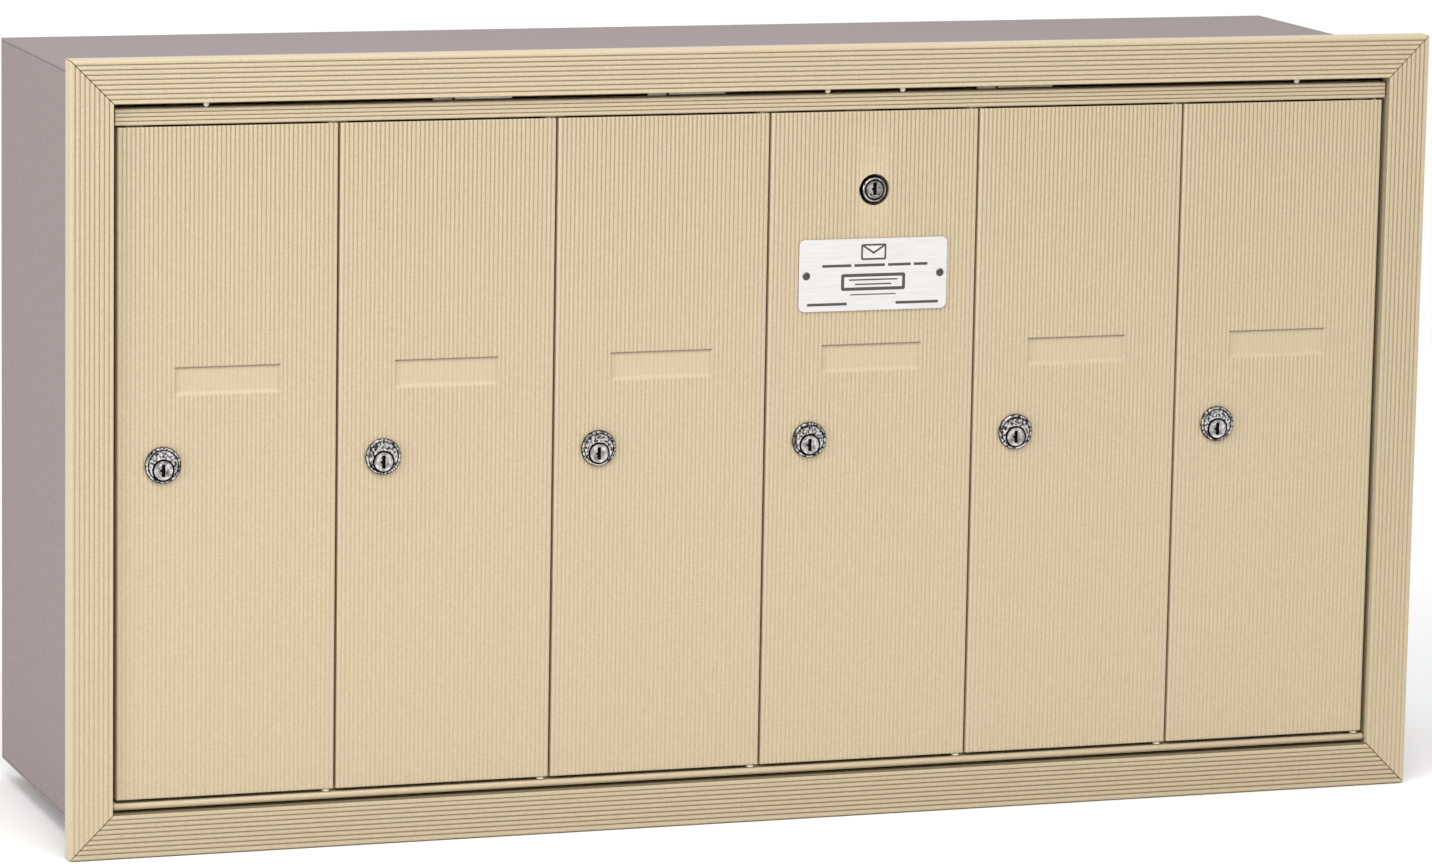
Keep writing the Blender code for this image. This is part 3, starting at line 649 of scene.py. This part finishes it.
def keep_cad_nodes():
    """CAD sheet parts whose shape is right: their finish, and softened sheet edges."""
    finish = {"box_paint": PRIMER, "zinc_steel": ZINC, "bushing": NYLON, "face_paint": PAINT,
              "chrome": CHROME, "label": PLATE}
    slots = {part["node"]: part["material_slot"] for part in frame["record"]["subparts"]}
    for name, obj in frame["nodes"].items():
        obj.data.materials.clear()
        obj.data.materials.append(finish[slots[name]])
        if slots[name] in ("box_paint", "zinc_steel"):
            edge = obj.modifiers.new("edge", "BEVEL")
            edge.width = SHEET_EDGE * MM
            edge.segments = 2
            edge.limit_method = "ANGLE"
            edge.angle_limit = SHEET_EDGE_ANGLE


# ----------------------------------------------------------- front's rails

def along_x(name, section, low, high, material, grooves=()):
    """A section in y-z run along x, with its ends drawn in a little."""
    middle_y = sum(y for y, z in section) / len(section)
    middle_z = sum(z for y, z in section) / len(section)
    edge = RAIL_END * MM
    rings = []
    for x, shrink in ((low, RAIL_END_SHARE), (low + edge, 1), (high - edge, 1), (high, RAIL_END_SHARE)):
        rings.append([(x, middle_y + (y - middle_y) * shrink, middle_z + (z - middle_z) * shrink)
                      for y, z in section])
    return loft(name, rings, material, grooves)


def make_rails():
    low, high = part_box("front_top_rail")
    reeding = ribs(low.z / MM, high.z / MM, RAIL_RIBS)
    section = [(low.y + depth * MM, z * MM) for z, depth in reeding] + [(high.y, high.z), (high.y, low.z)]
    # painted shade along the rail's grooves, as groove values
    shade = [groove_share(y - low.y) for y, z in section]
    shade[0] = shade[len(reeding) - 1] = 0
    rail = along_x("top_rail_reeded", section, low.x, high.x, PAINT, [shade] * 4)
    dress(rail, "front", "front_top_rail")

    low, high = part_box("front_bottom_rail")
    rod = middle_of("hinge_rod")
    radius = (high.z - low.z) / 2
    section = arc(radius, pi / 2, 3 * pi / 2, 20, (rod.y, rod.z)) + [(high.y, low.z), (high.y, high.z)]
    rail = along_x("bottom_rail_rounded", section, low.x, high.x, PAINT)
    reach = high.x + OVERRUN * MM
    drill(rail, PIN_BORE * MM, (0, rod.y, rod.z), "X", -reach, reach, steps=PIN_STEPS)
    dress(rail, "front", "front_bottom_rail")


# ----------------------------------------------------------------- doors

def card_recess(x, z, left, top):
    """Depth of the pressed card recess at a point of the door's front."""
    side = min(x - left, left + CARD_WIDTH * MM - x) / (CARD_SIDE * MM)
    head = (top - z) / (CARD_TOP * MM)
    foot = (z - top + CARD_HEIGHT * MM) / (CARD_RAMP * MM)
    return CARD_DEPTH * MM * max(0, min(1, side, head, foot))


def card_shade(x, z, left, top):
    """Painted shade along the recess's steep edges."""
    across, drop = min(x - left, left + CARD_WIDTH * MM - x), top - z
    if across < 0 or not 0 <= drop <= CARD_HEIGHT * MM:
        return 0
    if drop <= CARD_TOP * MM:
        return CARD_SHADE[0]
    return CARD_SHADE[1] if across < CARD_SIDE * MM else 0


def door_rows(low, high, card_top, lock_z):
    """Heights at which the door's section is placed: close together where its form changes."""
    near, edge, by_lock = DOOR_NEAR_ROW * MM, DOOR_EDGE * MM, DOOR_LOCK_ROW * MM
    ramp, step = CARD_RAMP * MM, CARD_TOP * MM
    card_foot = card_top - CARD_HEIGHT * MM
    rows = [low, low + edge, low + edge + near, lock_z - by_lock, lock_z + by_lock, card_foot - near]
    rows += [card_foot + ramp * k / CARD_RAMP_ROWS for k in range(CARD_RAMP_ROWS + 1)]
    rows += [card_foot + ramp + near, card_top - step - near, card_top - step, card_top, card_top + near]
    rows += [high - edge - near, high - edge, high]
    rows += [low + up * MM for up in DOOR_LOW_ROWS] + [high - down * MM for down in DOOR_HIGH_ROWS]
    return sorted(rows)


def make_door(i):
    node = f"door_{i}"
    low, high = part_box(node)
    lock = middle_of(f"lock_body_{i}")
    pin_x = high.x - BEAD_IN * MM
    bead_y = BEAD_Y * MM
    skin_back = low.y + DOOR_SKIN * MM
    card_left, card_top = low.x + CARD_LEFT * MM, high.z - CARD_DROP * MM
    left, right = low.x / MM, high.x / MM
    reeding = ribs(left, right, DOOR_RIBS, DOOR_RIB_DEPTH)
    reeding = [point for point in reeding if left + DOOR_SIDE_PLAIN < point[0] < right - DOOR_SIDE_PLAIN]
    face = [(left + inset, depth) for inset, depth in DOOR_SIDE] + reeding
    face += [(right - inset, depth) for inset, depth in reversed(DOOR_SIDE)]
    start = asin((skin_back - bead_y) / (BEAD_RADIUS * MM))
    bead = arc(BEAD_RADIUS * MM, start, pi - start, 16, (pin_x, bead_y))
    behind = [(high.x, skin_back)] + bead
    behind += [(low.x + DOOR_LIP * MM, skin_back), (low.x + DOOR_LIP * MM, high.y), (low.x, high.y)]
    plain = [0] * len(DOOR_SIDE)
    # painted shade along the door's grooves, as groove values
    shade = plain + [depth / DOOR_RIB_DEPTH for place, depth in reeding] + plain
    rings, values = [], []
    for z in door_rows(low.z, high.z, card_top, lock.z):
        worn = DOOR_EDGE * MM * DOOR_WORN if z in (low.z, high.z) else 0
        front, row = [], []
        # painted groove shade fading down the door, as under light from above
        for (place, depth), value in zip(face, upright(shade, (z - low.z) / (high.z - low.z))):
            x, rib = place * MM, depth * MM
            recess = card_recess(x, z, card_left, card_top)
            front.append((x, low.y + worn + max(rib, recess + CARD_RIBS * rib)))
            # painted groove shade, weaker where the press flattens the ribs, and painted shade along the
            # recess's edges
            row.append(max(value * (CARD_RIBS if recess > rib else 1),
                           card_shade(x, z, card_left, card_top)))
        rings.append([(x, y, z) for x, y in front + behind])
        values.append(row)
    door = loft(f"{node}_reeded", rings, PAINT, values)
    before, beyond = (y * MM for y in DOOR_DRILL)
    drill(door, LOCK_HOLE * MM, (lock.x, 0, lock.z), "Y", before, beyond)
    drill(door, PIN_BORE * MM, (pin_x, bead_y, 0), "Z", low.z - OVERRUN * MM, high.z + OVERRUN * MM,
          steps=PIN_STEPS)
    if i == MASTER_DOOR:
        master = middle_of("master_lock_body")
        drill(door, MASTER_HOLE * MM, (master.x, 0, master.z), "Y", before, beyond)
    dress(door, node, node)
    make_door_pin(i, pin_x, bead_y)


def make_door_pin(i, x, y):
    low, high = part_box(f"door_pin_{i}")
    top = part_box(f"door_{i}")[0].z - BUSH_GAP * MM
    bush, pin, edge = BUSH_RADIUS * MM, PIN_RADIUS * MM, BUSH_EDGE * MM
    inward, down = (value * MM for value in BUSH_SHOULDER)
    profile = [(0, low.z), (bush - edge, low.z), (bush, low.z + edge), (bush, top - down),
               (bush - inward, top), (pin, top), (pin, high.z - PIN_EDGE * MM), (0, high.z)]
    dress(turned(f"pin_and_bush_{i}", profile, (x, y, 0), "Z", NYLON, 28), "front", f"door_pin_{i}")


# ----------------------------------------------------------------- locks

def keyway(centre, front):
    """Cutter for a key slot: a narrow slot with a wider waist, as a key's profile has; its black goes onto
    the slot's walls as painted shade.
    """
    width, height, depth = (value * MM for value in KEYWAY)
    outline = [(x * width, z * height) for x, z in KEYWAY_SHAPE]
    return slab("keyway", outline, centre, front - depth, front + depth, BLACK)


def make_door_lock(i):
    door, axis = f"door_{i}", f"lock_{i}"
    body_low, body_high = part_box(f"lock_body_{i}")
    lock = middle_of(f"lock_body_{i}")
    at = (lock.x, 0, lock.z)
    profile = front_profile(LOCK_FACE, body_low.y / MM, body_high.y / MM)
    body = turned(f"lock_{i}_body", profile, at, "Y", CAST_CHROME)
    plug_at = (lock.x, 0, lock.z - PLUG_DROP * MM)
    before, beyond = (y * MM for y in LOCK_DRILL)
    # the bore's walls take the black: painted shade in the gap round the plug
    drill(body, PLUG_BORE * MM, plug_at, "Y", before, beyond, BLACK)
    dress(body, door, f"lock_body_{i}")

    inner, outer, front, back = (value * MM for value in NUT)
    ring = [(inner, front), (outer, front), (outer, back), (inner, back)]
    dress(turned(f"lock_{i}_nut", ring, at, "Y", ZINC, HEX, closed=True), door)

    front, back, half, reach = (value * MM for value in CAM)
    profile = front_profile(PLUG_FACE, PLUG_FRONT, CAM[0])
    plug = turned(f"lock_{i}_plug", profile, plug_at, "Y", CHROME)
    cut(plug, keyway((plug_at[0], plug_at[2]), PLUG_FRONT * MM))
    dress(plug, axis, f"lock_plug_{i}")
    tongue = slab(f"lock_{i}_cam", slot_outline(reach, half), (plug_at[0], plug_at[2]), front, back,
                  ZINC, STEEL_EDGE * MM, -pi / 2)
    dress(tongue, axis)
    radius, height = (value * MM for value in CAM_SCREW)
    head = [(0, back), (radius, back), (radius, back + height * CAM_SCREW_EDGE),
            (radius * CAM_SCREW_EDGE, back + height), (0, back + height)]
    dress(turned(f"lock_{i}_cam_screw", head, plug_at, "Y", ZINC, HEX), axis)


def make_master_lock():
    lock = middle_of("master_lock_body")
    at = (lock.x, 0, lock.z)
    ring = [(radius * MM, (MASTER_FACE + behind) * MM, shade) for radius, behind, shade in MASTER_BODY]
    dress(turned("master_lock_sleeve", ring, at, "Y", CHROME, closed=True), "front",
          "master_lock_body")
    # a black ring fills the gap round the sleeve: painted shade
    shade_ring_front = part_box("master_lock_bracket")[0].y - MASTER_SHADE_RING_FRONT * MM
    shade_ring = [(radius * MM, shade_ring_front + behind * MM) for radius, behind in MASTER_SHADE_RING]
    dress(turned("master_lock_shade_ring", shade_ring, at, "Y", BLACK, closed=True), "front")

    front, back, half, reach = (value * MM for value in CRANK)
    profile = front_profile(MASTER_PLUG, MASTER_PLUG_FRONT, CRANK[0])
    plug = turned("master_plug", profile, at, "Y", CHROME)
    cut(plug, keyway((at[0], at[2] + MASTER_KEYWAY_UP * MM), MASTER_PLUG_FRONT * MM))
    radius, across, down, depth = MASTER_PITS
    before, floor = DOOR_DRILL[0] * MM, (MASTER_PLUG_FRONT + depth) * MM
    for side in (-1, 1):
        pit_at = (at[0] + side * across * MM, 0, at[2] - down * MM)
        # the pits' walls take the black: painted shade
        drill(plug, radius * MM, pit_at, "Y", before, floor, BLACK, 12)
    dress(plug, "master_lock", "master_lock_plug")
    arm = slab("master_crank", slot_outline(reach, half), (at[0], at[2]), front, back, ZINC,
               STEEL_EDGE * MM, pi / 2 + CRANK_LEAN)
    dress(arm, "master_lock")
    radius, front, back = (value * MM for value in CRANK_PIN)
    pin_at = (at[0] - reach * sin(CRANK_LEAN), 0, at[2] + reach * cos(CRANK_LEAN))
    edge = STEEL_EDGE * MM
    pin = [(0, front), (radius, front), (radius, back - edge), (radius - edge, back), (0, back)]
    dress(turned("master_crank_pin", pin, pin_at, "Y", ZINC, PIN_STEPS), "master_lock")


# ----------------------------------------------------------- label plate

def make_label_plate():
    """A blank satin plate: an envelope sign and plain rules where the photo has words."""
    door = f"door_{MASTER_DOOR}"
    low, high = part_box("label_plate")
    centre = (low + high) / 2
    outline = rounded(high.x - low.x, high.z - low.z, PLATE_CORNER * MM, 8)
    plate = slab("label_plate_face", outline, (centre.x, centre.z), low.y, high.y, PLATE,
                 PLATE_EDGE * MM)
    dress(plate, door, "label_plate")
    front, back = low.y - PRINT_HEIGHT * MM, low.y + PRINT_SINK * MM
    over_print, over_blank = PRINT_OVER

    def printed(name, outline, across, up, material=INK, lift=0.0, turn=0.0):
        where = (centre.x + across * MM, centre.z + up * MM)
        dress(slab(name, outline, where, front - lift * MM, back, material, 0.0, turn), door)

    def rule(name, across, up, width, height, lift=0.0):
        outline = rounded(width * MM, height * MM, PRINT_CORNER * MM, 3)
        printed(name, outline, across, up, lift=lift)

    def frame_of(name, shape, line_shape):
        """A printed rounded frame with a blank field over it."""
        width, height, up = shape
        line, outer, inner = line_shape
        printed(name, rounded(width * MM, height * MM, outer * MM), 0, up)
        field = rounded((width - 2 * line) * MM, (height - 2 * line) * MM, inner * MM)
        printed(f"{name}_blank", field, 0, up, PLATE, over_print)

    for k, place_and_size in enumerate(PRINT_RULES):
        rule(f"print_rule_{k + 1}", *place_and_size)
    frame_of("print_envelope", ENVELOPE, ENVELOPE_LINE)
    reach, half, across, rise = FLAP
    for side in (-1, 1):
        turn = -FLAP_SLOPE if side < 0 else pi + FLAP_SLOPE
        printed(f"print_flap_{side + 2}", slot_outline(reach * MM, half * MM, 5), side * across,
                ENVELOPE[2] + rise, INK, over_blank, turn)
    frame_of("print_window", WINDOW, WINDOW_LINE)
    for k, (rise, length) in enumerate(WINDOW_RULES):
        rule(f"print_window_rule_{k + 1}", 0, WINDOW[2] + rise, length, WINDOW_RULE_HEIGHT, over_blank)
    radius, height = (value * MM for value in PLATE_RIVET)
    head = [(radius * out, -height * up) for out, up in PLATE_RIVET_SHAPE]
    for side in (-1, 1):
        where = (centre.x + side * PLATE_RIVET_X * MM, low.y, centre.z)
        dress(turned(f"plate_rivet_{(side + 3) // 2}", head, where, "Y", DARK_ZINC, 24), door)


# ----------------------------------------------------- stage, light, camera

def area_light(name, place, size, power, aim):
    data = bpy.data.lights.new(name, "AREA")
    data.shape = "RECTANGLE"
    data.size, data.size_y = size
    data.energy = power
    light = bpy.data.objects.new(name, data)
    light.location = place
    light.rotation_euler = (Vector(aim) - Vector(place)).to_track_quat("-Z", "Y").to_euler()
    bpy.context.scene.collection.objects.link(light)


def make_stage():
    bm = bmesh.new()
    bmesh.ops.create_grid(bm, x_segments=2, y_segments=2, size=FLOOR_HALF)
    floor = new_object("floor", bm, floor_paint())
    floor.location = (0, FLOOR_Y, cad_box[0].z - FLOOR_DROP * MM)
    for light in LIGHTS:
        area_light(*light)
    world = bpy.data.worlds.new("studio")
    world.use_nodes = True
    sky = world.node_tree.nodes["Background"]
    sky.inputs["Color"].default_value = (1, 1, 1, 1)
    sky.inputs["Strength"].default_value = WORLD_LIGHT
    bpy.context.scene.world = world
    bpy.context.scene.view_settings.view_transform = "Standard"


def make_camera():
    data = bpy.data.cameras.new("camera")
    data.sensor_width = SENSOR
    data.lens = LENS
    data.clip_end = CAMERA_REACH
    camera = bpy.data.objects.new("camera", data)
    towards = Vector((sin(CAMERA_AZIMUTH) * cos(CAMERA_ELEVATION),
                      -cos(CAMERA_AZIMUTH) * cos(CAMERA_ELEVATION), sin(CAMERA_ELEVATION)))
    turn = (-towards).to_track_quat("-Z", "Y").to_matrix().to_4x4()
    camera.matrix_world = (Matrix.Translation(AIM + towards * CAMERA_DISTANCE) @ turn
                           @ Matrix.Rotation(CAMERA_ROLL, 4, "Z"))
    bpy.context.scene.collection.objects.link(camera)
    bpy.context.scene.camera = camera


keep_cad_nodes()
make_trim()
make_back()
make_gap()
make_rails()
for number in range(1, DOORS + 1):
    make_door(number)
    make_door_lock(number)
make_master_lock()
make_label_plate()
make_stage()
make_camera()
